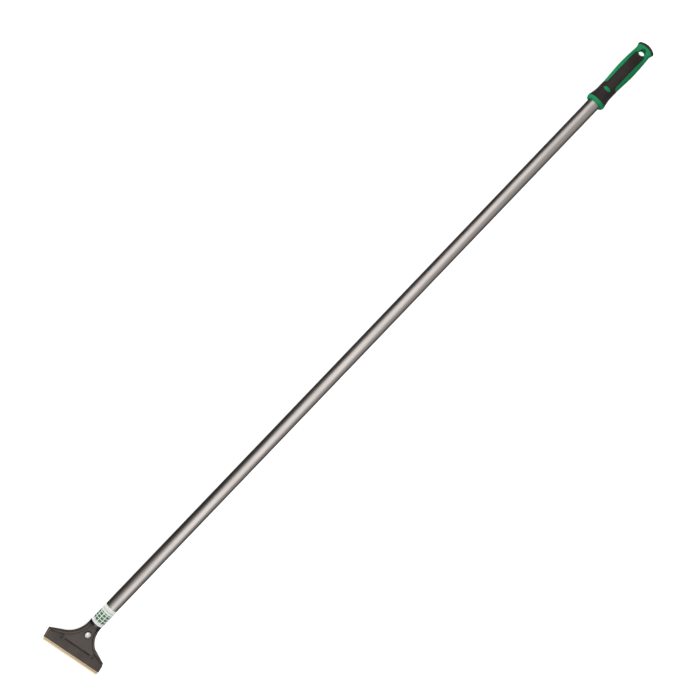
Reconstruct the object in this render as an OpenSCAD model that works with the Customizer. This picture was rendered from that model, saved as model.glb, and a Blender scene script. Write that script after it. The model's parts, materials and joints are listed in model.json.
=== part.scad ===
// Long-handled algae scraper: steel pole, two-shot grip, cast head and a clamped blade.
// The pole lies along X with the grip at +X. The blade runs along Y and Z points up.
// The origin is the centre of the hanging hole, on the axis of the pole.

/* [Pole] */
// Overall length from the blade's edge to the end cap
overall_len = 1219; // [900:1:1500]
// Outside diameter of the pole tube
pole_d = 20; // [19:0.5:20.5]
// Wall thickness of the pole tube
pole_wall = 1.2; // [0.9:0.1:1.6]
// Length of the printed sleeve at the foot of the pole
label_len = 31; // [20:1:60]

/* [Head] */
// Upward tilt of the head's web against the pole
web_tilt = 7.5; // [4:0.5:10]
// Further upward bend of the blade pad against the web
pad_bend = 22.5; // [16:0.5:28]
// Width of the head across its ears
head_w = 101.6; // [96:0.2:108]
// Distance from the neck to the crease where the pad begins
crease_u = 39.5; // [38:0.5:42]
// Length of the blade pad beyond the crease
pad_len = 13.8; // [12:0.2:14.6]
// Width of the raised rim along the flares
rim_w = 3.2; // [2.4:0.1:4]

/* [Blade and clamp] */
// Depth of the blade from its back to its edge
blade_depth = 17; // [15:0.1:20]
// Thickness of the blade
blade_t = 1; // [0.6:0.1:1.2]
// Thickness of the clamp plate
plate_t = 2; // [1.5:0.1:2.4]
// Distance between the two locating pegs
peg_gap = 58.5; // [56:0.5:64]
// Distance from the neck to the clamp screw
screw_u = 16.2; // [14:0.2:18]
// Diameter of the clamp screw's domed head
screw_head_d = 8.8; // [7:0.1:9]

/* [Grip] */
// Turn of the grip about the pole, measured from the head
grip_turn = -28.5; // [-90:0.5:90]
// Length of the grip from the top of its cap to its mouth
grip_len = 114.6; // [112:0.2:125]
// Greatest radius of the grip's barrel
barrel_r = 14; // [13:0.1:15]
// Radius of the grip's neck sleeve
sleeve_r = 12.3; // [11.9:0.1:12.8]
// Radius of the flared collar at the mouth
collar_r = 15.1; // [14:0.1:16]
// Distance from the top of the cap to the hanging hole
hole_s = 14; // [13.6:0.1:15]
// Diameter of the hanging hole
hole_d = 9.4; // [8:0.1:9.8]
// Width of the soft panel on each face of the grip
panel_w = 16.4; // [14:0.2:18]

/* [Hidden] */
$fn = 96;
far = 200;                 // reaches past anything that a local cut has to clear
fit = 0.05;                // radial play of fixed fits
run = 0.15;                // play between parts that move

// Pole
pole_r = pole_d / 2;
bore_r = pole_r - pole_wall;
label_t = 0.2;
plug_len = 12;
plug_lip = 1.5;
flange_len = 4.5;
neck_gap = 0.5;            // the neck's shoulder stands this far behind the bend point
shoulder_len = 3.4;
spigot_r = 7;
spigot_len = 38;
bush_len = 40;
neck_pin_d = 4;
neck_pin_up = 18;          // height of the pin above the foot of the tube

// Head, in layers measured square to the middle plane of the web
neck_r = 9.9;
web_low = -4;
pad_low = -2.4;
seat_z = 0.6;
blade_z = seat_z + run;
plate_z = blade_z + blade_t + run;
plate_top = plate_z + plate_t;
rim_z = plate_top + 0.7;
spine_start = 1.5;         // the spine under the web starts this far from the neck
spine_len = 33;
spine_end_r = 2.2;
flare_r = 33;
flare_u = -0.3;            // centre of each flare's arc
flare_y = neck_r + flare_r - 0.4;
flare_turn = 67.5;         // arc's extent, before the straight run to the ear
flare_merge = 0.15;        // straight runs start this far inside the arc
rim_tip = 1.5;             // the rim narrows to this at the ears
tip_slope = 0.42;          // how far the ears' tips move for each unit of end_in
ear_u = 39;
ear_y = head_w / 2;
ear_in = 0.5;              // the clamp plate stops this far inside the ears
plate_gap = 0.4;           // play between the clamp plate and the rim
plate_u = 0.9;             // top end of the clamp plate
heel_len = 3;
wing_step = 4.6;           // the wings bend this far behind the crease
wing_y = 23.5;
wing_slant = 4;
crease_r = 0.9;            // groove pressed along the crease of the clamp plate
end_ring = 1.2;            // width of the hard ring left around the hanging hole

// Blade and its pegs, measured from the crease along the pad
blade_back = 1.2;
blade_in = 0.5;            // the blade's ends stand this far inside the ears
bevel_len = 2.8;
edge_t = 0.15;
peg_along = 2.6;
peg_r = 1.5;
peg_head_r = 2.1;
peg_head_h = 0.9;
peg_tip = 0.8;
notch_r = 2;
notch_ahead = 0.8;         // notches run on in front of the pegs, for when the clamp lifts
pit_depth = 1.3;

// Clamp screw, an M5 with a domed head, its washer and its nut
thread_r = 2.5;
screw_hole_r = 2.8;
screw_len = 12;
screw_rim = 0.8;
screw_dome = 1.9;
recess_w = 1;
recess_len = 4;
recess_deep = 1.2;
washer_r = 5;
washer_t = 0.9;
washer_split = 0.8;
washer_turn = 30;
nut_flats = 8;
nut_t = 4;
nut_play = 0.1;
nut_wall = 0.8;
nut_top = -3.2;

// Stations along the grip, measured from the top of the cap
rim_s = 5;
waist_s = 12;
belly_s = 46;
taper_s = 85;
bell_s = 93;
collar_s = 109;
sleeve_s = 81.7;
soft_end_s = 109.6;
panel_s = 17;
badge_s = 89.5;
tube_end_s = 45;
rim_r = 14.2;
waist_r = 12.3;
mouth_r = 11.8;
flat_end = 5.5;            // half thickness of the grip at the hanging hole
flat_rim = 9.5;
flat_run = 32;
soft_t = 1;
dome_r = 24;
seat_dome_r = 33;
cap_t = 4.4;
cap_zone = 10;
cap_boss_r = 4;
cap_boss_end = 7;
lip = 0.8;                 // chamfer around the hanging hole
panel_round = 3;
strip_round = 3.2;
badge_l = 5;
badge_w = 13;

// Places along X
cap_x = hole_s;
tube_top_x = cap_x - tube_end_s;
edge_along = blade_back + blade_depth;
head_reach = crease_u * cos(web_tilt) + edge_along * cos(web_tilt + pad_bend)
    - blade_z * sin(web_tilt + pad_bend);
bend_x = cap_x - overall_len + head_reach;
flange_x = bend_x + neck_gap;
tube_foot_x = flange_x + flange_len;

function ease(t) = let (c = min(1, max(0, t))) c * c * (3 - 2 * c);
function mix(a, b, t) = a + (b - a) * t;
function share(s, s0, s1) = (s - s0) / (s1 - s0);
// Radius of the grip at a distance s from the top of the cap
function grip_r(s) =
    s < rim_s ? rim_r
    : s < waist_s ? mix(rim_r, waist_r, sin(90 * share(s, rim_s, waist_s)))
    : s < belly_s ? mix(waist_r, barrel_r, sin(90 * share(s, waist_s, belly_s)))
    : s < bell_s ? mix(barrel_r, sleeve_r, ease(share(s, belly_s, taper_s)))
    : s < collar_s ? mix(sleeve_r, collar_r, 1 - cos(90 * share(s, bell_s, collar_s)))
    : mix(collar_r, mouth_r, 1 - sqrt(1 - pow(share(s, collar_s, grip_len), 2)));
// Half thickness that the grip is flattened to near the hanging hole
function grip_h(s) = flat_end + (flat_rim - flat_end) * ease(share(s, waist_s, rim_s))
    + (collar_r + 1 - flat_end) * ease((s - hole_s - 4) / flat_run);
// Values from a to b in n equal steps
function steps(a, b, n) = [for (i = [0 : n]) mix(a, b, i / n)];

module rod(x0, x1, r) {
    translate([x0, 0, 0])
        rotate([0, 90, 0])
            cylinder(h = x1 - x0, r = r);
}
module tube(x0, x1, r_out, r_in) {
    difference() {
        rod(x0, x1, r_out);
        rod(x0 - 1, x1 + 1, r_in);
    }
}

// ---- Pole ----
module cross_pin(r) {
    translate([tube_foot_x + neck_pin_up, 0, 0])
        rotate([90, 0, 0])
            cylinder(h = far, r = r, center = true);
}
module pole_tube() {
    color("silver")
        difference() {
            tube(tube_foot_x, tube_top_x, pole_r, bore_r);
            cross_pin(neck_pin_d / 2);
        }
}
module pole_plug() {
    color("dimgray")
        union() {
            rod(tube_top_x - plug_len, tube_top_x + plug_lip, bore_r - fit);
            rod(tube_top_x, tube_top_x + plug_lip, pole_r);
        }
}
module label_sleeve() {
    color("white")
        tube(tube_foot_x, tube_foot_x + label_len, pole_r + label_t, pole_r);
}
module neck_bush() {
    color("black")
        difference() {
            union() {
                rod(flange_x, tube_foot_x, pole_r + label_t);
                rod(flange_x, tube_foot_x + bush_len, bore_r - fit);
            }
            rod(flange_x - 1, tube_foot_x + bush_len + 1, spigot_r);
            cross_pin(neck_pin_d / 2);
        }
}
module neck_pin() {
    color("gray")
        intersection() {
            difference() {
                cross_pin(neck_pin_d / 2);
                cross_pin(neck_pin_d / 4);
            }
            rod(tube_foot_x, tube_top_x, pole_r);
        }
}

// ---- Head: u runs from the bend point towards the blade ----
module place_head() {
    translate([bend_x, 0, 0])
        rotate([0, 0, 180])
            rotate([0, -web_tilt, 0])
                children();
}
// Pad frame: x runs from the crease towards the blade's edge, z square to the pad
module place_pad() {
    place_head()
        translate([crease_u, 0, 0])
            rotate([0, -pad_bend, 0])
                children();
}
// Half of the head's outline, moved in along the flare, at the ear's tip and at the ear's end
module half_plan(flare_in, tip_in, end_in, u0) {
    arc_r = flare_r + flare_in;
    turn_u = flare_u + (arc_r - flare_merge) * sin(flare_turn);
    turn_y = flare_y - (arc_r - flare_merge) * cos(flare_turn);
    end_y = ear_y - end_in;
    difference() {
        polygon([
            [u0, -1], [u0, neck_r - flare_in], [turn_u, turn_y],
            [ear_u + tip_in - end_in * tip_slope, end_y], [far, end_y], [far, -1]
        ]);
        translate([flare_u, flare_y])
            circle(r = arc_r, $fn = 180);
    }
}
module plan(flare_in, tip_in, end_in, u0) {
    union() {
        half_plan(flare_in, tip_in, end_in, u0);
        mirror([0, 1])
            half_plan(flare_in, tip_in, end_in, u0);
    }
}
module plan_block(flare_in, tip_in, end_in, u0) {
    linear_extrude(far, center = true)
        plan(flare_in, tip_in, end_in, u0);
}
// Where a layer at height z turns from the web into the pad
function turn_at(z) = [crease_u - z * tan(pad_bend / 2), z];
// A point of the side view, given along the pad and square to it
function on_pad(along, up) = [
    crease_u + along * cos(pad_bend) - up * sin(pad_bend),
    along * sin(pad_bend) + up * cos(pad_bend)
];
module side_block(points) {
    rotate([90, 0, 0])
        linear_extrude(far, center = true)
            polygon(points);
}
// A layer of the pad between two heights, run on behind the crease
module pad_layer(low, high, end = pad_len) {
    side_block([on_pad(-far, low), on_pad(end, low), on_pad(end, high), on_pad(-far, high)]);
}
// The two wings of the pad, which bend behind the crease
module wing_block(play) {
    for (side = [0, 1])
        mirror([0, side, 0])
            translate([0, 0, -far / 2])
                linear_extrude(far)
                    polygon([
                        [crease_u + 2, wing_y - play],
                        [crease_u - wing_step - play, wing_y + wing_slant - play],
                        [crease_u - wing_step - play, far], [crease_u + 2, far]
                    ]);
}
module at_pegs() {
    for (side = [-1, 1])
        translate([peg_along, side * peg_gap / 2, 0])
            children();
}
module web_and_rim() {
    intersection() {
        plan_block(0, 0, 0, 0);
        union() {
            side_block([
                [0, web_low], turn_at(web_low), on_pad(pad_len, pad_low),
                on_pad(pad_len, seat_z), turn_at(seat_z), [0, seat_z]
            ]);
            side_block([
                [0, web_low / 2], [crease_u, web_low / 2], turn_at(rim_z), [0, rim_z]
            ]);
        }
    }
}
module spine() {
    translate([spine_start, 0, 0])
        rotate([0, 90, 0])
            cylinder(h = spine_len, r1 = neck_r, r2 = spine_end_r);
}
module nut_boss() {
    translate([screw_u, 0, nut_top - nut_t - nut_wall])
        cylinder(h = nut_t + nut_wall * 2, r = nut_flats / 2 + nut_wall * 2);
}
module nut_pocket() {
    translate([screw_u, 0, nut_top - far])
        cylinder(h = far, r = (nut_flats / 2 + nut_play) / cos(30), $fn = 6);
}
// What is cut out of the head for the clamp plate and the blade
module seat() {
    intersection() {
        plan_block(rim_w, rim_tip, -1, plate_u - plate_gap);
        pad_layer(seat_z, far, far);
        union() {
            translate([-far / 2, -far / 2, seat_z])
                cube(far);
            wing_block(plate_gap);
        }
    }
}
module head_casting() {
    color("dimgray")
        difference() {
            union() {
                place_head() {
                    web_and_rim();
                    spine();
                    nut_boss();
                }
                rod(flange_x - shoulder_len, flange_x, neck_r);
                rod(flange_x - 1, tube_foot_x + spigot_len, spigot_r);
            }
            cross_pin(neck_pin_d / 2);
            place_head() {
                seat();
                translate([screw_u, 0, -far / 2])
                    cylinder(h = far, r = screw_hole_r);
                nut_pocket();
            }
            place_pad()
                at_pegs()
                    translate([0, 0, seat_z - pit_depth])
                        cylinder(h = far, r = notch_r);
        }
}
module clamp_nut() {
    color("silver")
        place_head()
            translate([screw_u, 0, nut_top - nut_play - nut_t])
                difference() {
                    cylinder(h = nut_t, r = nut_flats / 2 / cos(30), $fn = 6);
                    translate([0, 0, -1])
                        cylinder(h = nut_t + 2, r = thread_r + fit);
                }
}

// ---- Clamp ----
// The plate's body, before its holes
module plate_body() {
    intersection() {
        plan_block(rim_w + plate_gap, rim_tip + plate_gap, ear_in, plate_u);
        union() {
            difference() {
                side_block([
                    [0, plate_z], turn_at(plate_z), turn_at(plate_top), [0, plate_top]
                ]);
                wing_block(0);
            }
            side_block([
                turn_at(plate_z), on_pad(pad_len, plate_z), on_pad(pad_len, plate_top),
                turn_at(plate_top)
            ]);
            intersection() {
                wing_block(0);
                pad_layer(plate_z, plate_top);
            }
            side_block([
                [plate_u, blade_z], [plate_u + heel_len, blade_z],
                [plate_u + heel_len, plate_top], [plate_u, plate_top]
            ]);
        }
    }
}
module clamp_plate() {
    color("dimgray")
        difference() {
            place_head()
                plate_body();
            place_head() {
                translate([screw_u, 0, 0])
                    cylinder(h = far, r = screw_hole_r);
                translate([crease_u - plate_top * tan(pad_bend / 2), 0, plate_top])
                    rotate([90, 0, 0])
                        cylinder(h = wing_y * 2, r = crease_r, center = true);
            }
            place_pad()
                at_pegs()
                    cylinder(h = far, r = peg_r);
        }
}
module dome(r, h) {
    ball_r = (r * r + h * h) / (2 * h);
    intersection() {
        translate([0, 0, h - ball_r])
            sphere(r = ball_r);
        cylinder(h = far, r = r + 1);
    }
}
module blade_pegs() {
    color("gray")
        place_pad()
            at_pegs() {
                translate([0, 0, seat_z - peg_tip])
                    cylinder(h = plate_top - seat_z + peg_tip, r = peg_r);
                translate([0, 0, plate_top])
                    dome(peg_head_r, peg_head_h);
            }
}
module lock_washer() {
    color("black")
        place_head()
            translate([screw_u, 0, plate_top])
                difference() {
                    cylinder(h = washer_t, r = washer_r);
                    translate([0, 0, -1])
                        cylinder(h = washer_t + 2, r = screw_hole_r);
                    rotate([0, 0, washer_turn])
                        translate([0, -washer_split / 2, -1])
                            cube([washer_r * 2, washer_split, washer_t + 2]);
                }
}
module clamp_screw() {
    color("gainsboro")
        place_head()
            translate([screw_u, 0, plate_top + washer_t + fit])
                difference() {
                    union() {
                        translate([0, 0, -screw_len])
                            cylinder(h = screw_len + 1, r = thread_r);
                        cylinder(h = screw_rim, r = screw_head_d / 2);
                        translate([0, 0, screw_rim])
                            dome(screw_head_d / 2, screw_dome);
                    }
                    translate([0, 0, screw_rim + screw_dome - recess_deep + far / 2])
                        for (size = [[recess_len, recess_w, far], [recess_w, recess_len, far]])
                            cube(size, center = true);
                }
}
module blade() {
    color("tan")
        place_pad()
            difference() {
                translate([0, 0, blade_z])
                    rotate([90, 0, 0])
                        linear_extrude(head_w - blade_in * 2, center = true)
                            polygon([
                                [blade_back, 0], [edge_along, 0], [edge_along, edge_t],
                                [edge_along - bevel_len, blade_t], [blade_back, blade_t]
                            ]);
                at_pegs()
                    translate([notch_ahead, 0, 0]) {
                        cylinder(h = far, r = notch_r);
                        translate([-far, -notch_r, 0])
                            cube([far, notch_r * 2, far]);
                    }
            }
}

// ---- Grip: z runs down the grip from the top of the cap, x points out of its face ----
module place_grip() {
    translate([cap_x, 0, 0])
        rotate([grip_turn, 0, 0])
            rotate([0, -90, 0])
                children();
}
// The grip's outer form, with its skin moved in by an inset
module grip_form(inset) {
    outline = concat(
        steps(0, rim_s, 1), steps(rim_s + 1.5, waist_s, 3), steps(waist_s + 6, belly_s, 5),
        steps(belly_s + 8, taper_s, 5), steps(bell_s, collar_s, 8),
        steps(collar_s + 1.2, grip_len, 5)
    );
    waist = concat(steps(0, rim_s, 1), steps(rim_s + 1.5, waist_s, 4), steps(hole_s + 4, belly_s, 8));
    intersection() {
        rotate_extrude()
            polygon(concat(
                [for (s = outline) [grip_r(s) - inset, s]], [[0, grip_len], [0, 0]]
            ));
        rotate([90, 0, 0])
            linear_extrude(far, center = true)
                polygon(concat(
                    [for (s = waist) [grip_h(s) - inset, s]],
                    [[collar_r + 1, grip_len + 1], [-collar_r - 1, grip_len + 1]],
                    [for (i = [len(waist) - 1 : -1 : 0]) [inset - grip_h(waist[i]), waist[i]]]
                ));
    }
}
module face_block(from_x) {
    translate([from_x, 0, 0])
        rotate([90, 0, 90])
            linear_extrude(far)
                children();
}
// Outline of the soft panel, seen square to the grip's face
module panel_plan() {
    union() {
        translate([-panel_w / 2, panel_s + panel_round])
            square([panel_w, sleeve_s - panel_s]);
        translate([panel_round - panel_w / 2, panel_s])
            square([panel_w - panel_round * 2, panel_round * 2]);
        for (side = [-1, 1])
            translate([side * (panel_w / 2 - panel_round), panel_s + panel_round])
                circle(r = panel_round);
        // Fillets that round off the hard strips where the panel meets the sleeve
        for (side = [0, 1])
            mirror([side, 0])
                translate([panel_w / 2, sleeve_s])
                    difference() {
                        translate([-1, -strip_round])
                            square([strip_round + 1, strip_round + 1]);
                        translate([strip_round, -strip_round])
                            circle(r = strip_round);
                    }
    }
}
module badge_plan() {
    polygon([
        [-badge_w / 2, badge_s], [-badge_w / 4, badge_s - badge_l / 2],
        [badge_w / 4, badge_s - badge_l / 2], [badge_w / 2, badge_s],
        [badge_w / 4, badge_s + badge_l / 2], [-badge_w / 4, badge_s + badge_l / 2]
    ]);
}
// The zone where the soft overmould covers the core
module soft_zone() {
    difference() {
        union() {
            translate([0, 0, sleeve_s])
                cylinder(h = soft_end_s - sleeve_s, r = far / 2);
            face_block(0)
                panel_plan();
            mirror([1, 0, 0])
                face_block(0)
                    panel_plan();
        }
        grip_form(soft_t);
        face_block(0)
            badge_plan();
        translate([0, 0, hole_s])
            rotate([0, 90, 0])
                cylinder(h = far, r = hole_d / 2 + end_ring, center = true);
    }
}
module hang_hole() {
    translate([0, 0, hole_s])
        rotate([0, 90, 0]) {
            cylinder(h = far, r = hole_d / 2, center = true);
            for (side = [0, 1])
                mirror([0, 0, side])
                    translate([0, 0, flat_end - lip])
                        cylinder(h = lip * 2, r1 = hole_d / 2, r2 = hole_d / 2 + lip * 2);
        }
}
module cap_space() {
    difference() {
        translate([0, 0, -1])
            cylinder(h = cap_zone + 1, r = far / 2);
        translate([0, 0, cap_t + seat_dome_r])
            sphere(r = seat_dome_r, $fn = 180);
    }
}
module grip_core() {
    color("seagreen")
        place_grip()
            difference() {
                grip_form(0);
                soft_zone();
                cap_space();
                hang_hole();
                translate([0, 0, tube_end_s - plug_lip])
                    cylinder(h = far, r = pole_r + fit);
                cylinder(h = cap_boss_end + fit, r = cap_boss_r + fit);
            }
}
module grip_overmould() {
    color("#3b2f2f")
        place_grip()
            intersection() {
                grip_form(0);
                soft_zone();
            }
}
module grip_end_cap() {
    color("#171d11")
        place_grip()
            union() {
                intersection() {
                    grip_form(0);
                    cap_space();
                    translate([0, 0, dome_r])
                        sphere(r = dome_r, $fn = 180);
                }
                translate([0, 0, cap_t / 2])
                    cylinder(h = cap_boss_end - cap_t / 2, r = cap_boss_r);
            }
}

pole_tube();
pole_plug();
label_sleeve();
neck_bush();
neck_pin();
head_casting();
clamp_nut();
clamp_plate();
blade_pegs();
lock_washer();
clamp_screw();
blade();
grip_core();
grip_overmould();
grip_end_cap();
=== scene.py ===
# A long-handled algae scraper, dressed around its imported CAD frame.
# Pieces are in metres in the row frame. Lengths named below are in millimetres.
import json
import math

import bmesh
import bpy
from mathutils import Matrix, Vector

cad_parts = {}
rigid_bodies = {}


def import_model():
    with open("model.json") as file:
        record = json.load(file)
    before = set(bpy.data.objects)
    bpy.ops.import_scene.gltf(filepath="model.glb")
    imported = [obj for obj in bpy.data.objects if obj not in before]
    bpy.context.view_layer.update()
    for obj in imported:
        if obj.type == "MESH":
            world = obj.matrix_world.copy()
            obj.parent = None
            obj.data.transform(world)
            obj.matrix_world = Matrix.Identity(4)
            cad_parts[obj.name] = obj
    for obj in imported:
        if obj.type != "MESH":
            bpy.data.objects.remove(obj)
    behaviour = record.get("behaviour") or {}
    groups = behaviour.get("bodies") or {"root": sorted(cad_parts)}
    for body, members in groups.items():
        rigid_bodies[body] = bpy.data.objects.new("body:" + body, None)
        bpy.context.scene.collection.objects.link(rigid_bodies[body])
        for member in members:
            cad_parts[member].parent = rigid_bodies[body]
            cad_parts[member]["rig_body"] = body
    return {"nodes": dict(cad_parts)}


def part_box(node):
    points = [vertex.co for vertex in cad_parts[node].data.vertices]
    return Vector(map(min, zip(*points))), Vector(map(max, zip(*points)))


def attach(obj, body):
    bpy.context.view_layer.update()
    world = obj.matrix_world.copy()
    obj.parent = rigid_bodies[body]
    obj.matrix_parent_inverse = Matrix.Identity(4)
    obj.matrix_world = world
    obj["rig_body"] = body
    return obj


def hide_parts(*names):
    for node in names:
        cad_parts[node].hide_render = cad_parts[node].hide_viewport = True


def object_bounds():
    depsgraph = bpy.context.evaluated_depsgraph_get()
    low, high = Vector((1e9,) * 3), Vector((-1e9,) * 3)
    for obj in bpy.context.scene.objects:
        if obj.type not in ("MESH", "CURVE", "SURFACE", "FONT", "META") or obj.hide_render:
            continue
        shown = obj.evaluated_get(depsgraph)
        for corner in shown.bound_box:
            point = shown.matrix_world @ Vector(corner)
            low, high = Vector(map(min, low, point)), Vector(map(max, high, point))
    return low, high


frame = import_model()
cad_low, cad_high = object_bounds()

MM = 0.001
TURN = math.radians(24)                    # the grip's face is turned this far from straight up
FACE = Vector((0, math.sin(TURN), math.cos(TURN)))
SIDE = Vector((0, math.cos(TURN), -math.sin(TURN)))


# ---- Materials ----
class Look:
    """A material being built: its node tree, its shader and shorthands for nodes."""

    def __init__(self, name, **constants):
        self.mat = bpy.data.materials.new(name)
        self.mat.use_nodes = True
        self.tree = self.mat.node_tree
        self.shader = self.tree.nodes["Principled BSDF"]
        for socket, value in constants.items():
            self.shader.inputs[socket.replace("_", " ")].default_value = value

    def node(self, kind, **values):
        made = self.tree.nodes.new("ShaderNode" + kind)
        for name, value in values.items():
            setattr(made, name, value)
        return made

    def link(self, a, b):
        self.tree.links.new(a, b)

    def feed(self, socket, value):
        if isinstance(value, bpy.types.NodeSocket):
            self.link(value, socket)
        else:
            socket.default_value = value

    def place(self, stretch=(1, 1, 1), shift=(0, 0, 0)):
        coords = self.node("TexCoord")
        mapping = self.node("Mapping")
        mapping.inputs["Location"].default_value = shift
        mapping.inputs["Scale"].default_value = stretch
        self.link(coords.outputs["Object"], mapping.inputs["Vector"])
        return mapping.outputs["Vector"]

    def noise(self, scale, detail=3, rough=0.5, stretch=(1, 1, 1), shift=(0, 0, 0)):
        made = self.node("TexNoise")
        self.link(self.place(stretch, shift), made.inputs["Vector"])
        made.inputs["Scale"].default_value = scale
        made.inputs["Detail"].default_value = detail
        made.inputs["Roughness"].default_value = rough
        return made.outputs["Fac"]

    def cells(self, scale, stretch=(1, 1, 1), feature="F1"):
        made = self.node("TexVoronoi", feature=feature)
        self.link(self.place(stretch), made.inputs["Vector"])
        made.inputs["Scale"].default_value = scale
        return made.outputs["Distance"]

    def span(self, value, low, high, to_low=0.0, to_high=1.0):
        made = self.node("MapRange")
        self.feed(made.inputs["Value"], value)
        for name, number in zip(
            ("From Min", "From Max", "To Min", "To Max"), (low, high, to_low, to_high)
        ):
            made.inputs[name].default_value = number
        return made.outputs["Result"]

    def math(self, operation, a, b=0.0):
        made = self.node("Math", operation=operation)
        self.feed(made.inputs[0], a)
        self.feed(made.inputs[1], b)
        return made.outputs["Value"]

    def blend(self, share, a, b, kind="MIX"):
        made = self.node("Mix", data_type="RGBA", blend_type=kind)
        self.feed(made.inputs["Factor"], share)
        self.feed(made.inputs["A"], a if not isinstance(a, tuple) else (*a, 1))
        self.feed(made.inputs["B"], b if not isinstance(b, tuple) else (*b, 1))
        return made.outputs["Result"]

    def bump(self, height, strength, distance, under=None):
        made = self.node("Bump")
        made.inputs["Strength"].default_value = strength
        made.inputs["Distance"].default_value = distance
        self.link(height, made.inputs["Height"])
        if under is not None:
            self.link(under, made.inputs["Normal"])
        return made.outputs["Normal"]

    def edges(self, radius):
        """Near 1 on sharp edges and 0 on faces."""
        bevel = self.node("Bevel", samples=6)
        bevel.inputs["Radius"].default_value = radius
        geometry = self.node("NewGeometry")
        dot = self.node("VectorMath", operation="DOT_PRODUCT")
        self.link(bevel.outputs["Normal"], dot.inputs[0])
        self.link(geometry.outputs["Normal"], dot.inputs[1])
        return self.span(dot.outputs["Value"], 0.99, 0.82)

    def hollows(self, reach):
        """Near 1 in grooves and inner corners, and 0 on open faces."""
        shade = self.node("AmbientOcclusion", samples=8)
        shade.inputs["Distance"].default_value = reach
        return self.span(shade.outputs["AO"], 0.95, 0.58)

    def done(self, colour=None, roughness=None, normal=None):
        inputs = self.shader.inputs
        for name, value in (
            ("Base Color", colour), ("Roughness", roughness), ("Normal", normal)
        ):
            if value is not None:
                self.feed(inputs[name], value)
        return self.mat


def drawn_metal(name, light, dark, rough, line=(30, 2600, 2600), stain=0.5):
    """Metal with fine lines drawn along X, faint stains and small nicks."""
    look = Look(name, Metallic=1.0, IOR=2.5)
    lines = look.noise(1, 5, 0.62, line)
    wide = look.noise(1, 3, 0.5, (line[0] * 0.2, line[1] * 0.18, line[2] * 0.18))
    stains = look.span(look.noise(38, 6, 0.6, (0.35, 1, 1)), 0.42, 0.72)
    tone = look.blend(look.span(lines, 0.3, 0.7), dark, light)
    tone = look.blend(look.span(wide, 0.35, 0.65, 0.0, 0.55), tone, light)
    tone = look.blend(look.math("MULTIPLY", stains, stain * 0.5), tone, dark)
    shine = look.span(lines, 0.25, 0.75, rough - 0.07, rough + 0.07)
    shine = look.math("ADD", shine, look.math("MULTIPLY", stains, 0.08))
    normal = look.bump(lines, 0.22, 0.00004)
    nicks = look.span(look.cells(260, (0.5, 1, 1)), 0.0, 0.10)
    normal = look.bump(nicks, 0.15, 0.00006, normal)
    return look.done(tone, shine, normal)


def cast_paint(name, base, worn, rough=0.44, grain=1500):
    """A satin stoved coat over a casting, with an orange-peel skin, rubbed edges and painted shade in
    its grooves and corners.
    """
    look = Look(name, Specular_IOR_Level=0.5, Coat_Weight=0.12, Coat_Roughness=0.32)
    peel = look.noise(grain, 3, 0.55)
    cloud = look.noise(55, 5, 0.6)
    dust = look.span(look.noise(420, 4, 0.7), 0.56, 0.74)
    rub = look.math("MULTIPLY", look.edges(0.0007), look.span(look.noise(240, 4, 0.6), 0.4, 0.66))
    lighter = tuple(1.45 * c for c in base)
    tone = look.blend(look.span(cloud, 0.3, 0.7), base, lighter)
    tone = look.blend(look.math("MULTIPLY", dust, 0.16), tone, worn)
    tone = look.blend(look.math("MULTIPLY", rub, 0.22), tone, worn)
    # Painted shade: grooves, creases and inner corners are darkened towards a near-black copy of the
    # base colour.
    painted_shade = look.math("MULTIPLY", look.hollows(0.0045), 0.92)
    tone = look.blend(painted_shade, tone, tuple(0.12 * c for c in base))
    shine = look.span(cloud, 0.3, 0.7, rough - 0.06, rough + 0.08)
    shine = look.math("ADD", shine, look.math("MULTIPLY", dust, 0.10))
    normal = look.bump(peel, 0.30, 0.00012)
    normal = look.bump(cloud, 0.10, 0.0004, normal)
    return look.done(tone, shine, normal)


def moulded(name, base, light, rough, grain=900, depth=0.00006, coat=0.25):
    """Hard glossy plastic with a faint flow pattern and handling marks."""
    look = Look(name, Specular_IOR_Level=0.32, Coat_Weight=coat, Coat_Roughness=0.12)
    flow = look.noise(45, 4, 0.55, (0.4, 1, 1))
    skin = look.noise(grain, 3, 0.5)
    scuff = look.span(look.noise(160, 6, 0.7, (0.3, 1, 1)), 0.55, 0.75)
    tone = look.blend(look.span(flow, 0.3, 0.7), base, light)
    tone = look.blend(look.math("MULTIPLY", look.edges(0.0006), 0.25), tone, light)
    shine = look.span(flow, 0.3, 0.7, rough - 0.05, rough + 0.05)
    shine = look.math("ADD", shine, look.math("MULTIPLY", scuff, 0.14))
    normal = look.bump(skin, 0.12, depth)
    return look.done(tone, shine, normal)


def rubber(name, base, dusty, rough=0.62):
    """Soft overmould: fine spark-eroded grain with a dusty bloom."""
    look = Look(
        name, Specular_IOR_Level=0.40, Sheen_Weight=0.12, Sheen_Roughness=0.45,
        Sheen_Tint=(0.9, 0.78, 0.74, 1),
    )
    grain = look.cells(1700)
    fine = look.noise(2600, 3, 0.6)
    bloom = look.noise(60, 5, 0.62)
    tone = look.blend(look.span(bloom, 0.34, 0.7), base, dusty)
    tone = look.blend(look.math("MULTIPLY", look.edges(0.0005), 0.3), tone, dusty)
    shine = look.span(bloom, 0.3, 0.7, rough - 0.07, rough + 0.09)
    height = look.math("ADD", grain, look.math("MULTIPLY", fine, 0.6))
    return look.done(tone, shine, look.bump(height, 0.45, 0.00012))


def bright_metal(name, base, dark, rough, grain=900, metallic=1.0):
    """Plated small parts: slight mottling, with rubbed, brighter edges."""
    look = Look(name, Metallic=metallic, IOR=2.5)
    mottle = look.noise(grain, 4, 0.6)
    cloud = look.noise(300, 3, 0.5)
    tone = look.blend(look.span(mottle, 0.3, 0.72), dark, base)
    tone = look.blend(look.math("MULTIPLY", look.edges(0.0003), 0.5), tone, base)
    shine = look.span(cloud, 0.3, 0.7, rough - 0.06, rough + 0.08)
    return look.done(tone, shine, look.bump(mottle, 0.12, 0.00003))


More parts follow.
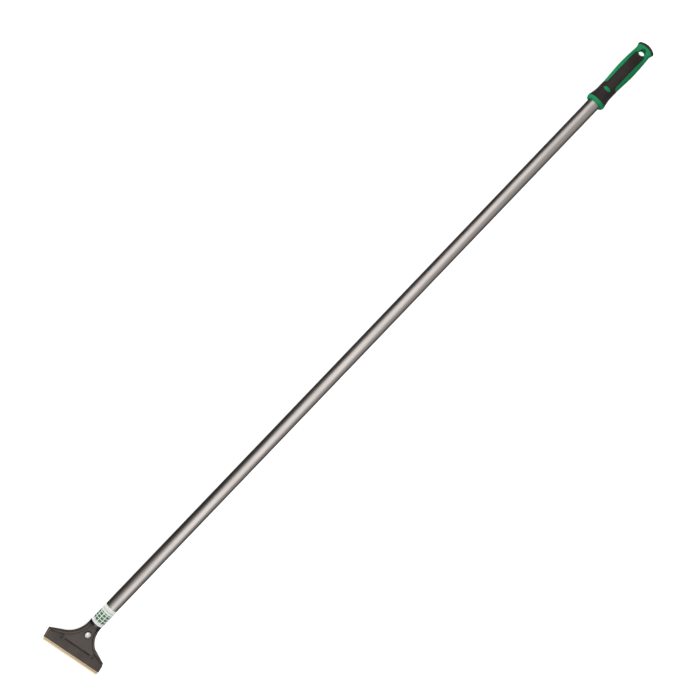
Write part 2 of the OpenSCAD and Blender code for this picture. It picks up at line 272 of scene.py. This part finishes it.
def ground_blade(name, edge, bevel):
    """Tan lacquered steel with a ground bevel, which is paler, and a dark line at its start."""
    look = Look(name, Metallic=0.45, IOR=1.8)
    lines = look.noise(1, 5, 0.62, (3200, 40, 3200))
    cloud = look.noise(90, 5, 0.6, (1, 0.35, 1))
    spots = look.span(look.noise(520, 5, 0.7), 0.60, 0.74)
    split = look.node("SeparateXYZ")
    look.link(look.node("TexCoord").outputs["Object"], split.inputs["Vector"])
    ahead = look.math("SUBTRACT", edge, split.outputs["X"])
    ground = look.span(ahead, -bevel, -bevel + 0.2 * MM)
    rise = look.span(ahead, -bevel - 0.9 * MM, -bevel - 0.5 * MM)
    fall = look.span(ahead, -bevel + 0.4 * MM, -bevel)
    start = look.math("MULTIPLY", rise, fall)
    tone = look.blend(look.span(lines, 0.3, 0.7), (0.74, 0.55, 0.32), (0.95, 0.78, 0.53))
    tone = look.blend(look.span(cloud, 0.35, 0.7, 0.0, 0.4), tone, (0.96, 0.84, 0.64))
    tone = look.blend(look.math("MULTIPLY", ground, 0.65), tone, (0.98, 0.80, 0.52))
    tone = look.blend(look.math("MULTIPLY", start, 0.75), tone, (0.28, 0.17, 0.07))
    tone = look.blend(look.math("MULTIPLY", spots, 0.3), tone, (0.30, 0.20, 0.10))
    shine = look.span(lines, 0.3, 0.7, 0.30, 0.46)
    return look.done(tone, shine, look.bump(lines, 0.2, 0.00004))


def label_print(name, start, end, radius):
    """A white film sleeve with an even grid of green blocks and a row of small bars."""
    look = Look(name, Specular_IOR_Level=0.4, Coat_Weight=0.1, Coat_Roughness=0.12)
    split = look.node("SeparateXYZ")
    look.link(look.node("TexCoord").outputs["Object"], split.inputs["Vector"])
    along = look.span(split.outputs["X"], start, end)
    angle = look.math("ARCTAN2", split.outputs["Y"], split.outputs["Z"])
    around = look.math("MULTIPLY", angle, radius / (end - start))
    vector = look.node("CombineXYZ")
    look.link(along, vector.inputs["X"])
    look.link(around, vector.inputs["Y"])

    def band(low, high):
        rise = look.span(along, low, low + 0.012)
        fall = look.span(along, high, high + 0.012, 1.0, 0.0)
        return look.math("MULTIPLY", rise, fall)

    def blocks(across, deep):
        """An even grid of rectangles, all alike."""
        cell = look.node("VectorMath", operation="MULTIPLY")
        look.link(vector.outputs["Vector"], cell.inputs[0])
        cell.inputs[1].default_value = (deep, across, 1)
        local = look.node("SeparateXYZ")
        look.link(cell.outputs["Vector"], local.inputs["Vector"])
        sides = []
        for axis in ("X", "Y"):
            inside = look.math("PINGPONG", look.math("FRACT", local.outputs[axis]), 0.5)
            sides.append(look.span(inside, 0.09, 0.13))
        return look.math("MULTIPLY", *sides)

    film = look.noise(240, 4, 0.6)
    tone = look.blend(look.span(film, 0.3, 0.7), (0.88, 0.92, 0.88), (0.94, 0.96, 0.93))
    solid = look.math("MULTIPLY", band(0.12, 0.68), blocks(5.2, 6.4))
    tone = look.blend(look.math("MULTIPLY", solid, 0.95), tone, (0.001, 0.15, 0.040))
    marks = look.math("MULTIPLY", band(0.76, 0.84), blocks(15.0, 13.0))
    tone = look.blend(look.math("MULTIPLY", marks, 0.55), tone, (0.22, 0.34, 0.26))
    rub = look.span(look.noise(300, 6, 0.7), 0.57, 0.72)
    shine = look.math("ADD", look.span(film, 0.3, 0.7, 0.24, 0.34), look.math("MULTIPLY", rub, 0.15))
    return look.done(tone, shine, look.bump(film, 0.08, 0.00015))


BEVEL_REACH = 2.4                          # width of the blade's bevel, measured along X
label_low, label_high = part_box("label_sleeve")
LOOKS = {
    "pole_steel": drawn_metal("pole_steel", (0.64, 0.595, 0.565), (0.49, 0.45, 0.425), 0.38),
    "plug_plastic": moulded("plug_plastic", (0.020, 0.020, 0.021), (0.035, 0.035, 0.036), 0.5),
    "label_print": label_print("label_print", label_low.x, label_high.x, label_high.z),
    "bush_black": moulded(
        "bush_black", (0.006, 0.006, 0.008), (0.012, 0.012, 0.015), 0.22,
        depth=0.00004, coat=1.0,
    ),
    "pin_steel": bright_metal("pin_steel", (0.55, 0.53, 0.50), (0.40, 0.38, 0.36), 0.3),
    "head_paint": cast_paint("head_paint", (0.056, 0.0425, 0.0355), (0.20, 0.165, 0.14)),
    "plate_paint": cast_paint("plate_paint", (0.060, 0.0455, 0.038), (0.19, 0.155, 0.13), 0.48),
    # Painted shade: the peg paint is about half as bright as the plate paint, darkened to stand for the
    # shade round the pegs.
    "peg_paint": cast_paint("peg_paint", (0.030, 0.024, 0.021), (0.15, 0.125, 0.11), 0.42),
    "nut_zinc": bright_metal("nut_zinc", (0.62, 0.61, 0.58), (0.44, 0.43, 0.42), 0.34),
    # The washer's near-black colour is partly its own black finish and partly painted shade, standing
    # for the dark ring round the screw head.
    "washer_black": bright_metal("washer_black", (0.045, 0.043, 0.045), (0.02, 0.02, 0.022), 0.38),
    # The screw's near-white, mostly unmetallic colour is partly its plating and partly painted
    # highlight, standing for the glare on its dome.
    "screw_bright": bright_metal(
        "screw_bright", (0.99, 0.97, 0.93), (0.93, 0.90, 0.85), 0.36, metallic=0.35
    ),
    "blade_tan": ground_blade("blade_tan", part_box("blade")[0].x, BEVEL_REACH * MM),
    "grip_green": moulded(
        "grip_green", (0.0, 0.25, 0.085), (0.0, 0.32, 0.115), 0.36, coat=0.03
    ),
    "grip_soft": rubber("grip_soft", (0.017, 0.0115, 0.0105), (0.032, 0.0235, 0.0215)),
    "cap_black": moulded("cap_black", (0.007, 0.0085, 0.006), (0.016, 0.018, 0.014), 0.40),
}
SLOT_OF = {
    "pole_tube": "pole_steel", "pole_plug": "plug_plastic", "label_sleeve": "label_print",
    "neck_bush": "bush_black", "neck_pin": "pin_steel", "head_casting": "head_paint",
    "clamp_nut": "nut_zinc", "clamp_plate": "plate_paint", "blade_pegs": "peg_paint",
    "lock_washer": "washer_black", "clamp_screw": "screw_bright", "blade": "blade_tan",
    "grip_core": "grip_green", "grip_overmould": "grip_soft", "grip_end_cap": "cap_black",
}
for name, obj in frame["nodes"].items():
    obj.data.materials.clear()
    obj.data.materials.append(LOOKS[SLOT_OF[name]])


# ---- Pieces refined from the frame's own solids ----
def link_piece(name, mesh, node):
    """A new object for a mesh in the row frame, standing for a CAD node."""
    obj = bpy.data.objects.new(name, mesh)
    bpy.context.scene.collection.objects.link(obj)
    mesh.materials.clear()
    mesh.materials.append(LOOKS[SLOT_OF[node]])
    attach(obj, frame["nodes"][node]["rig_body"])
    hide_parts(node)
    return obj


def soften(obj, width, segments=2, limit=28):
    """Rounds an object's sharp edges and evens the shading of its faces."""
    obj.data.shade_smooth()
    bevel = obj.modifiers.new("round", "BEVEL")
    bevel.width = width * MM
    bevel.segments = segments
    bevel.limit_method = "ANGLE"
    bevel.angle_limit = math.radians(limit)
    bevel.use_clamp_overlap = False
    bevel.miter_outer = "MITER_ARC"
    even = obj.modifiers.new("even", "WEIGHTED_NORMAL")
    even.keep_sharp = False
    even.weight = 90
    return obj


def refined(name, node, width, segments=2, limit=28):
    """A copy of a CAD solid with its facets joined and its edges rounded."""
    bm = bmesh.new()
    bm.from_mesh(frame["nodes"][node].data)
    bmesh.ops.remove_doubles(bm, verts=bm.verts, dist=0.002 * MM)
    bmesh.ops.dissolve_limit(
        bm, angle_limit=math.radians(0.5), verts=bm.verts, edges=bm.edges
    )
    mesh = bpy.data.meshes.new(name)
    bm.to_mesh(mesh)
    bm.free()
    return soften(link_piece(name, mesh, node), width, segments, limit)


def cast(name, node, voxel, passes):
    """A copy of a CAD solid remade as one even skin, with every edge melted round."""
    rough = bpy.data.objects.new("rough", frame["nodes"][node].data.copy())
    bpy.context.scene.collection.objects.link(rough)
    weld = rough.modifiers.new("weld", "WELD")
    weld.merge_threshold = 0.002 * MM
    skin = rough.modifiers.new("skin", "REMESH")
    skin.mode = "VOXEL"
    skin.voxel_size = voxel * MM
    melt = rough.modifiers.new("melt", "SMOOTH")
    melt.factor = 0.5
    melt.iterations = passes
    ready = rough.evaluated_get(bpy.context.evaluated_depsgraph_get())
    mesh = bpy.data.meshes.new_from_object(ready)
    mesh.name = name
    bpy.data.objects.remove(rough)
    mesh.shade_smooth()
    return link_piece(name, mesh, node)


cast("head_cast", "head_casting", 0.4, 5)
refined("clamp_cover", "clamp_plate", 0.35, 3)
refined("peg_pair", "blade_pegs", 0.12)
refined("split_washer", "lock_washer", 0.18)
refined("domed_screw", "clamp_screw", 0.14, 3, 40)
refined("scraper_blade", "blade", 0.06)
refined("hex_nut", "clamp_nut", 0.2)
refined("neck_ring", "neck_bush", 0.3, 3)


# ---- Grip: x points out of its face, y across it, and s runs down from the top of the cap ----
GRIP_TURN = math.radians(28.5)
CAP_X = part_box("grip_end_cap")[1].x / MM
RIM_S, WAIST_S, BELLY_S, TAPER_S, BELL_S, COLLAR_S, MOUTH_S = 5, 12, 46, 85, 93, 109, 114.6
RIM_R, WAIST_R, BARREL_R, SLEEVE_R, COLLAR_R, MOUTH_R = 14.2, 12.3, 14, 12.3, 15.1, 11.8
FLAT_END, FLAT_RIM, FLAT_RUN = 5.5, 9.5, 32
HOLE_S, HOLE_R, HOLE_RING = CAP_X, 4.7, 1.2
PANEL_S, PANEL_W, PANEL_ROUND, STRIP_ROUND = 17, 16.4, 3, 3.2
SLEEVE_S, SOFT_END_S, SOFT_T = 81.7, 109.6, 1
SOFT_PROUD, SOFT_CLEAR = 0.16, 0.12
BADGE_S, BADGE_W, BADGE_L = 89.5, 13, 5
CAP_T, DOME_R, SEAT_DOME_R = 4.4, 24, 33
BORE_R, BORE_END_S = 10.05, 43.5
FAR_OFF = 99
COLUMNS = 96


def ease(t):
    t = min(1, max(0, t))
    return t * t * (3 - 2 * t)


def mix(a, b, t):
    return a + (b - a) * t


def share(s, s0, s1):
    return (s - s0) / (s1 - s0)


def grip_r(s):
    """Radius of the grip at a distance s from the top of the cap."""
    if s < RIM_S:
        return RIM_R
    if s < WAIST_S:
        return mix(RIM_R, WAIST_R, math.sin(math.pi / 2 * share(s, RIM_S, WAIST_S)))
    if s < BELLY_S:
        return mix(WAIST_R, BARREL_R, math.sin(math.pi / 2 * share(s, WAIST_S, BELLY_S)))
    if s < BELL_S:
        return mix(BARREL_R, SLEEVE_R, ease(share(s, BELLY_S, TAPER_S)))
    if s < COLLAR_S:
        return mix(SLEEVE_R, COLLAR_R, 1 - math.cos(math.pi / 2 * share(s, BELL_S, COLLAR_S)))
    t = min(1, share(s, COLLAR_S, MOUTH_S))
    return mix(COLLAR_R, MOUTH_R, 1 - math.sqrt(1 - t * t))


def grip_h(s):
    """Half thickness that the grip is flattened to near the hanging hole."""
    top = (FLAT_RIM - FLAT_END) * ease(share(s, WAIST_S, RIM_S))
    return FLAT_END + top + (COLLAR_R + 1 - FLAT_END) * ease((s - HOLE_S - 4) / FLAT_RUN)


def outline(angle, s):
    """The grip's reach in a direction: a circle cut by two flats, with soft corners."""
    flat = abs(math.cos(angle)) / grip_h(s)
    power = 18
    return (grip_r(s) ** -power + flat ** power) ** (-1 / power)


def skin(angle, s):
    reach = outline(angle, s)
    return Vector((reach * math.cos(angle), reach * math.sin(angle), s))


def skin_normal(angle, s):
    d = 0.02
    across = skin(angle + d, s) - skin(angle - d, s)
    along = skin(angle, min(s + d, MOUTH_S)) - skin(angle, s - d)
    return across.cross(along).normalized()


def dome_line(angle, radius, top):
    """Where a dome meets the grip's outline: the station s in this direction."""
    s = top
    for _ in range(6):
        s = top + radius - math.sqrt(radius * radius - outline(angle, s) ** 2)
    return s


def dome_point(angle, part, radius, top):
    reach = part * outline(angle, dome_line(angle, radius, top))
    s = top + radius - math.sqrt(radius * radius - reach * reach)
    return Vector((reach * math.cos(angle), reach * math.sin(angle), s))


def rounded_box(x, y, half_x, half_y, corner):
    qx, qy = abs(x) - half_x + corner, abs(y) - half_y + corner
    return math.hypot(max(qx, 0), max(qy, 0)) + min(max(qx, qy), 0) - corner


def soft_depth(point):
    """How far a point of the skin is inside the soft overmould's outline; negative outside."""
    panel = rounded_box(
        point.y, point.z - (PANEL_S + BELL_S) / 2, PANEL_W / 2, (BELL_S - PANEL_S) / 2, PANEL_ROUND
    )
    sleeve = SLEEVE_S - point.z
    r = STRIP_ROUND
    both = max(r, min(panel, sleeve)) - math.hypot(max(r - panel, 0), max(r - sleeve, 0))
    outside = max(both, point.z - SOFT_END_S)
    outside = max(outside, HOLE_RING - hole_distance(point))
    if point.x > 0:
        across, along = abs(point.y), abs(point.z - BADGE_S)
        lozenge = max(along - BADGE_L / 2, (across + along * BADGE_W / BADGE_L / 2 - BADGE_W / 2) * 0.6)
        outside = max(outside, -lozenge)
    return -outside


def hole_distance(point):
    return math.hypot(point.y, point.z - HOLE_S) - HOLE_R


def rolled(depth, width):
    """How far an edge has rolled inwards at a depth from it, over a width."""
    t = min(1, max(0, depth / width))
    return width * (1 - math.sqrt(max(0, 1 - (1 - t) ** 2)))


def station(angle, q):
    """Rows q from 0 start on the cap's seat, and close up with the stations further down."""
    return q + dome_line(angle, SEAT_DOME_R, CAP_T) * max(0, 1 - q / 22)


def sheet_of(rows):
    """A flat sheet whose points are (angle, row), to be cut and then wrapped."""
    bm = bmesh.new()
    grid = [
        [bm.verts.new((math.tau * (i / COLUMNS - 0.5), q, 0)) for i in range(COLUMNS + 1)]
        for q in rows
    ]
    for low_row, high_row in zip(grid, grid[1:]):
        for i in range(COLUMNS):
            bm.faces.new((low_row[i], low_row[i + 1], high_row[i + 1], high_row[i]))
    return bm


def cut(bm, field, levels):
    """Splits a flat sheet along the lines where a field has each level."""
    for level in levels:
        value = {v: field(v.co) - level for v in bm.verts}
        marked = [v for v, d in value.items() if abs(d) < 1e-6]
        for edge in list(bm.edges):
            a, b = (value[v] for v in edge.verts)
            if a * b >= 0 or min(abs(a), abs(b)) < 1e-6:
                continue
            part = a / (a - b)
            first = edge.verts[0]
            if part < 0.06 or part > 0.94:
                near = first if part < 0.5 else edge.other_vert(first)
                far = edge.other_vert(near)
                near.co = near.co.lerp(far.co, min(part, 1 - part))
                value[near] = 0
                marked.append(near)
                continue
            _, made = bmesh.utils.edge_split(edge, first, part)
            value[made] = 0
            marked.append(made)
        bmesh.ops.connect_verts(bm, verts=list(set(marked)))


def drop(bm, test):
    """Deletes the faces whose centre passes a test, with what then hangs loose."""
    gone = [f for f in bm.faces if test(f.calc_center_median())]
    bmesh.ops.delete(bm, geom=gone, context="FACES")


def finish_grip_mesh(bm, name):
    bmesh.ops.remove_doubles(bm, verts=bm.verts, dist=0.01)
    bmesh.ops.dissolve_degenerate(bm, dist=0.005, edges=bm.edges)
    turn = Matrix((
        (0, 0, -1, CAP_X),
        (math.sin(GRIP_TURN), math.cos(GRIP_TURN), 0, 0),
        (math.cos(GRIP_TURN), -math.sin(GRIP_TURN), 0, 0),
        (0, 0, 0, 1),
    ))
    bm.transform(Matrix.Scale(MM, 4) @ turn)
    mesh = bpy.data.meshes.new(name)
    bm.to_mesh(mesh)
    bm.free()
    mesh.shade_smooth()
    return mesh


def steps(a, b, n):
    return [mix(a, b, i / n) for i in range(n + 1)]


def on_skin(co):
    return skin(co.x, station(co.x, co.y)) if 0 <= co.y <= MOUTH_S else None


def soft_field(co):
    point = on_skin(co)
    return -FAR_OFF if point is None else soft_depth(point)


def hole_field(co):
    point = on_skin(co)
    return FAR_OFF if point is None else hole_distance(point)


def core_point(co):
    """Where a point of the core's sheet is wrapped to."""
    angle, q = co.x, co.y
    if q < 0:
        return dome_point(angle, max(0, 1 + q / 4), SEAT_DOME_R, CAP_T)
    if q > MOUTH_S:
        past = q - MOUTH_S
        reach = mix(MOUTH_R, BORE_R, min(past, 1)) if past < 2 else BORE_R * (3 - past)
        s = mix(MOUTH_S, BORE_END_S, min(1, max(0, past - 1)))
        return Vector((reach * math.cos(angle), reach * math.sin(angle), s))
    s = station(angle, q)
    point = skin(angle, s)
    depth, clear = soft_depth(point), hole_distance(point)
    inward = rolled(-depth, 0.45) if depth < 0 else (SOFT_T + 0.04) * min(1, depth / 0.08)
    inward += rolled(clear, 1.0)
    return point - skin_normal(angle, s) * inward


def grip_core():
    rows = steps(-4, 0, 4)[:-1] + steps(0, MOUTH_S, 104) + [MOUTH_S + i for i in (1, 2, 3)]
    bm = sheet_of(rows)
    cut(bm, hole_field, (0, 0.35, 1.0))
    drop(bm, lambda co: hole_field(co) < 0)
    cut(bm, soft_field, (-0.45, -0.2, 0, 0.08))
    for v in bm.verts:
        v.co = core_point(v.co)
    bmesh.ops.remove_doubles(bm, verts=bm.verts, dist=0.01)
    lip = [e for e in bm.edges if e.is_boundary]
    made = bmesh.ops.extrude_edge_only(bm, edges=lip)["geom"]
    for v in made:
        if isinstance(v, bmesh.types.BMVert):
            v.co.x = 0
    bmesh.ops.remove_doubles(bm, verts=bm.verts, dist=0.01)
    bmesh.ops.recalc_face_normals(bm, faces=bm.faces)
    return link_piece("grip_body", finish_grip_mesh(bm, "grip_body"), "grip_core")


def overmould_point(co):
    s = station(co.x, co.y)
    depth = soft_depth(skin(co.x, s)) - SOFT_CLEAR
    proud = SOFT_PROUD * ease((COLLAR_S - 2 - s) / 6) - 0.01
    return skin(co.x, s) - skin_normal(co.x, s) * (rolled(depth, 0.5) - proud)


def grip_overmould():
    bm = sheet_of(steps(0, MOUTH_S, 104))
    cut(bm, soft_field, (0.12, 0.3, 0.62))
    drop(bm, lambda co: soft_field(co) < 0.12)
    for v in bm.verts:
        v.co = overmould_point(v.co)
    obj = link_piece("soft_overmould", finish_grip_mesh(bm, "soft_overmould"), "grip_overmould")
    thick = obj.modifiers.new("thick", "SOLIDIFY")
    thick.thickness = SOFT_T * MM
    thick.offset = -1
    return obj


def cap_point(co):
    angle, q = co.x, co.y
    if q <= 4:
        return dome_point(angle, q / 4, DOME_R, 0)
    if q >= 6:
        return dome_point(angle, (10 - q) / 4, SEAT_DOME_R, CAP_T - 0.1)
    low_s, high_s = dome_line(angle, DOME_R, 0), dome_line(angle, SEAT_DOME_R, CAP_T - 0.1)
    return skin(angle, mix(low_s, high_s, (q - 4) / 2))


def grip_cap():
    bm = sheet_of(steps(0, 4, 8) + steps(4, 6, 3)[1:] + steps(6, 10, 6)[1:])
    for v in bm.verts:
        v.co = cap_point(v.co)
    bmesh.ops.remove_doubles(bm, verts=bm.verts, dist=0.01)
    bmesh.ops.recalc_face_normals(bm, faces=bm.faces)
    obj = link_piece("end_cap", finish_grip_mesh(bm, "end_cap"), "grip_end_cap")
    return soften(obj, 0.45, 3, 35)


grip_core()
grip_overmould()
grip_cap()


# ---- Floor, light and camera, in metres ----
FLOOR_HALF, FLOOR_GLOW = 12, 0.74
BACKDROP_R, BACKDROP_H = 11.5, 14
MIDDLE_X = -0.6                            # half way along the tool
STRIP_WIDE, STRIP_LONG, STRIP_POWER = 0.75, 2.3, 5.0
STRIP_BELOW, STRIP_ASIDE = 0.98, 0.05      # the strip's place, measured from the camera
STRIP_TURN = math.radians(-9)
VIEW_TILT = math.radians(46.25)            # the pole's slope in the picture
VIEW_X, VIEW_AWAY, VIEW_ASIDE = -0.6047, 1.548, 0.0084
VIEW_LENS, VIEW_SENSOR = 54.7, 36


def floor():
    bm = bmesh.new()
    bmesh.ops.create_grid(bm, x_segments=8, y_segments=8, size=FLOOR_HALF)
    mesh = bpy.data.meshes.new("floor")
    bm.to_mesh(mesh)
    obj = bpy.data.objects.new("floor", mesh)
    obj.location = (MIDDLE_X, 0, cad_low.z)
    bpy.context.scene.collection.objects.link(obj)
    look = Look("floor", Specular_IOR_Level=0.1)
    look.shader.inputs["Emission Color"].default_value = (1, 1, 1, 1)
    look.shader.inputs["Emission Strength"].default_value = FLOOR_GLOW
    cloud = look.noise(3, 3, 0.5)
    look.done(
        look.blend(look.span(cloud, 0.3, 0.7), (0.90, 0.90, 0.90), (0.93, 0.93, 0.93)),
        look.span(cloud, 0.3, 0.7, 0.7, 0.85),
    )
    mesh.materials.append(look.mat)
    obj.visible_glossy = False
    return look.mat


def backdrop(material):
    """A pale round wall behind the floor's edge, which adds no light and no reflections."""
    bm = bmesh.new()
    bmesh.ops.create_cone(
        bm, cap_ends=False, segments=96, radius1=BACKDROP_R, radius2=BACKDROP_R,
        depth=BACKDROP_H,
    )
    mesh = bpy.data.meshes.new("backdrop")
    bm.to_mesh(mesh)
    obj = bpy.data.objects.new("backdrop", mesh)
    obj.location = (MIDDLE_X, 0, cad_low.z + BACKDROP_H * 0.45)
    bpy.context.scene.collection.objects.link(obj)
    mesh.materials.append(material)
    obj.visible_glossy = False
    obj.visible_diffuse = False
    obj.visible_shadow = False


def strip_light():
    """A long softbox over the middle of the pole, lying upright in the camera's view."""
    eye = bpy.context.scene.camera.matrix_world
    data = bpy.data.lights.new("strip", "AREA")
    data.shape = "RECTANGLE"
    data.size, data.size_y = STRIP_WIDE, STRIP_LONG
    data.energy = STRIP_POWER
    obj = bpy.data.objects.new("strip", data)
    obj.matrix_world = (
        Matrix.Translation(eye.translation - STRIP_BELOW * FACE + STRIP_ASIDE * SIDE)
        @ Matrix.Rotation(STRIP_TURN, 4, FACE)
        @ eye.to_3x3().to_4x4()
    )
    bpy.context.scene.collection.objects.link(obj)


def sky():
    """A soft sky: bright overhead, falling to dark below the horizon."""
    world = bpy.data.worlds.new("sky")
    bpy.context.scene.world = world
    world.use_nodes = True
    tree = world.node_tree
    coords = tree.nodes.new("ShaderNodeTexCoord")
    split = tree.nodes.new("ShaderNodeSeparateXYZ")
    ramp = tree.nodes.new("ShaderNodeMapRange")
    ramp.interpolation_type = "SMOOTHSTEP"
    tree.links.new(coords.outputs["Generated"], split.inputs["Vector"])
    tree.links.new(split.outputs["Z"], ramp.inputs["Value"])
    for name, value in (("From Min", -0.15), ("From Max", 0.9), ("To Min", 0.02), ("To Max", 0.50)):
        ramp.inputs[name].default_value = value
    tree.links.new(ramp.outputs["Result"], tree.nodes["Background"].inputs["Strength"])
    tree.nodes["Background"].inputs["Color"].default_value = (1.0, 0.985, 0.97, 1)


def camera():
    """Looks square at the grip's face, with the pole rising to the right."""
    middle = Vector((VIEW_X, 0, 0))
    along = Vector((1, 0, 0))
    right = math.cos(VIEW_TILT) * along - math.sin(VIEW_TILT) * SIDE
    up = math.sin(VIEW_TILT) * along + math.cos(VIEW_TILT) * SIDE
    data = bpy.data.cameras.new("camera")
    data.sensor_width = VIEW_SENSOR
    data.lens = VIEW_LENS
    obj = bpy.data.objects.new("camera", data)
    bpy.context.scene.collection.objects.link(obj)
    turn = Matrix((right, up, FACE)).transposed().to_4x4()
    obj.matrix_world = Matrix.Translation(
        middle + VIEW_AWAY * FACE + VIEW_ASIDE * SIDE
    ) @ turn
    bpy.context.scene.camera = obj


backdrop(floor())
sky()
camera()
strip_light()
bpy.context.scene.view_settings.view_transform = "Standard"
